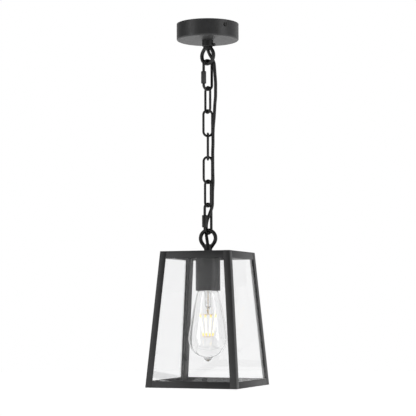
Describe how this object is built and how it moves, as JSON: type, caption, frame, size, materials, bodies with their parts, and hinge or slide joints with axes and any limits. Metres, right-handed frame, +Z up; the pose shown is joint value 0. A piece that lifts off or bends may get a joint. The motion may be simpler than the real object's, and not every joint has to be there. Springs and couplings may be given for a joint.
{
  "type": "hanging lantern",
  "caption": "Black tapered square lantern with clear glass sides and a round filament bulb, hung on a link chain with its cable from a round ceiling cup.",
  "frame": {"origin": "on the ceiling plane at the middle of the two fixing holes, on the axis of the chain", "axes": "+Z up into the ceiling; the lantern's glass sides face +X, -X, +Y and -Y, with its front at -Y"},
  "size_m": [0.155, 0.155, 0.592],
  "materials": {
    "black_powder_coat": "fine-textured satin powder coat",
    "black_steel": "black plated, satin",
    "black_cast_iron": "black painted, satin",
    "zinc_plate": "zinc plated",
    "brass": "satin",
    "white_plastic": "moulded",
    "black_phenolic": "moulded",
    "lead_insulation": "smooth",
    "cable_jacket": "smooth, satin",
    "clear_glass": "clear, polished",
    "cap_metal": "rolled, satin",
    "filament": "phosphor coating, glowing",
    "bulb_wire": "drawn wire"
  },
  "bodies": {
    "ceiling_rose": {"ceiling_cup": "black_powder_coat", "ceiling_bracket": "zinc_plate", "cover_screws": "black_steel", "top_loop": "black_cast_iron", "top_loop_nut": "zinc_plate", "top_loop_washer": "zinc_plate", "cord_grip_screw": "black_steel", "terminal_block": "white_plastic", "terminal_screws": "brass", "earth_screw": "brass", "inner_leads": "lead_insulation", "supply_cable_1": "cable_jacket"},
    "top_quick_link": {"top_quick_link": "black_steel", "supply_cable_2": "cable_jacket"},
    "top_link_sleeve": {"top_link_sleeve": "black_steel"},
    "link_1": {"chain_link_1": "black_steel", "supply_cable_3": "cable_jacket"},
    "link_2": {"chain_link_2": "black_steel", "supply_cable_4": "cable_jacket"},
    "link_3": {"chain_link_3": "black_steel", "supply_cable_5": "cable_jacket"},
    "link_4": {"chain_link_4": "black_steel", "supply_cable_6": "cable_jacket"},
    "link_5": {"chain_link_5": "black_steel", "supply_cable_7": "cable_jacket"},
    "bottom_quick_link": {"bottom_quick_link": "black_steel", "supply_cable_8": "cable_jacket"},
    "bottom_link_sleeve": {"bottom_link_sleeve": "black_steel"},
    "lantern": {"lantern_loop": "black_cast_iron", "lantern_loop_nut": "zinc_plate", "supply_cable_9": "cable_jacket", "top_plate": "black_powder_coat", "top_rail_front": "black_powder_coat", "top_rail_right": "black_powder_coat", "top_rail_back": "black_powder_coat", "top_rail_left": "black_powder_coat", "post_front_left": "black_powder_coat", "post_front_right": "black_powder_coat", "post_back_right": "black_powder_coat", "post_back_left": "black_powder_coat", "bottom_rail_front": "black_powder_coat", "bottom_rail_right": "black_powder_coat", "bottom_rail_back": "black_powder_coat", "bottom_rail_left": "black_powder_coat", "glass_front": "clear_glass", "glass_right": "clear_glass", "glass_back": "clear_glass", "glass_left": "clear_glass", "glass_clips": "black_powder_coat", "holder_cup": "black_powder_coat", "holder_body": "black_phenolic", "holder_shell": "brass", "holder_contact": "brass"},
    "bulb_contact": {"bulb_contact": "brass"},
    "bulb": {"bulb_cap": "cap_metal", "bulb_glass": "clear_glass", "bulb_stem": "clear_glass", "bulb_filaments": "filament", "bulb_wires": "bulb_wire"}
  },
  "joints": [
    {"name": "top_link_swing", "type": "hinge", "parent": "ceiling_rose", "child": "top_quick_link", "pos_m": [0, 0, -0.0652], "axis": [0.9272, -0.3746, 0], "range_deg": [-25, 25], "deforming": ["supply_cable_1"]},
    {"name": "link_1_swing", "type": "hinge", "parent": "top_quick_link", "child": "link_1", "pos_m": [0, 0, -0.1084], "axis": [0.6691, 0.7431, 0], "range_deg": [-15, 15], "deforming": ["supply_cable_2"]},
    {"name": "link_2_swing", "type": "hinge", "parent": "link_1", "child": "link_2", "pos_m": [0, 0, -0.14665], "axis": [0.809, -0.5878, 0], "range_deg": [-15, 15], "deforming": ["supply_cable_3"]},
    {"name": "link_3_swing", "type": "hinge", "parent": "link_2", "child": "link_3", "pos_m": [0, 0, -0.18515], "axis": [-0.848, -0.5299, 0], "range_deg": [-15, 15], "deforming": ["supply_cable_4"]},
    {"name": "link_4_swing", "type": "hinge", "parent": "link_3", "child": "link_4", "pos_m": [0, 0, -0.22365], "axis": [-0.3746, 0.9272, 0], "range_deg": [-15, 15], "deforming": ["supply_cable_5"]},
    {"name": "link_5_swing", "type": "hinge", "parent": "link_4", "child": "link_5", "pos_m": [0, 0, -0.26215], "axis": [-0.766, -0.6428, 0], "range_deg": [-15, 15], "deforming": ["supply_cable_6"]},
    {"name": "bottom_link_swing", "type": "hinge", "parent": "link_5", "child": "bottom_quick_link", "pos_m": [0, 0, -0.30065], "axis": [-0.8829, 0.4695, 0], "range_deg": [-15, 15], "deforming": ["supply_cable_7"]},
    {"name": "lantern_swing", "type": "hinge", "parent": "bottom_quick_link", "child": "lantern", "pos_m": [0, 0, -0.345], "axis": [-0.4067, -0.9135, 0], "range_deg": [-20, 20], "deforming": ["supply_cable_8", "supply_cable_9"]},
    {"name": "top_sleeve_travel", "type": "slide", "parent": "top_quick_link", "child": "top_link_sleeve", "axis": [0, 0, 1], "range_m": [0, 0.009]},
    {"name": "bottom_sleeve_travel", "type": "slide", "parent": "bottom_quick_link", "child": "bottom_link_sleeve", "axis": [0, 0, 1], "range_m": [0, 0.009]},
    {"name": "bulb_travel", "type": "slide", "parent": "lantern", "child": "bulb_contact", "axis": [0, 0, -1], "range_m": [0, 0.0182]},
    {"name": "bulb_turn", "type": "hinge", "parent": "bulb_contact", "child": "bulb", "pos_m": [0, 0, -0.5], "axis": [0, 0, -1], "range_deg": [0, 1800]}
  ],
  "couplings": [
    {"joint": "bulb_travel", "follows": "bulb_turn", "m_per_rad": 0.00057614}
  ]
}
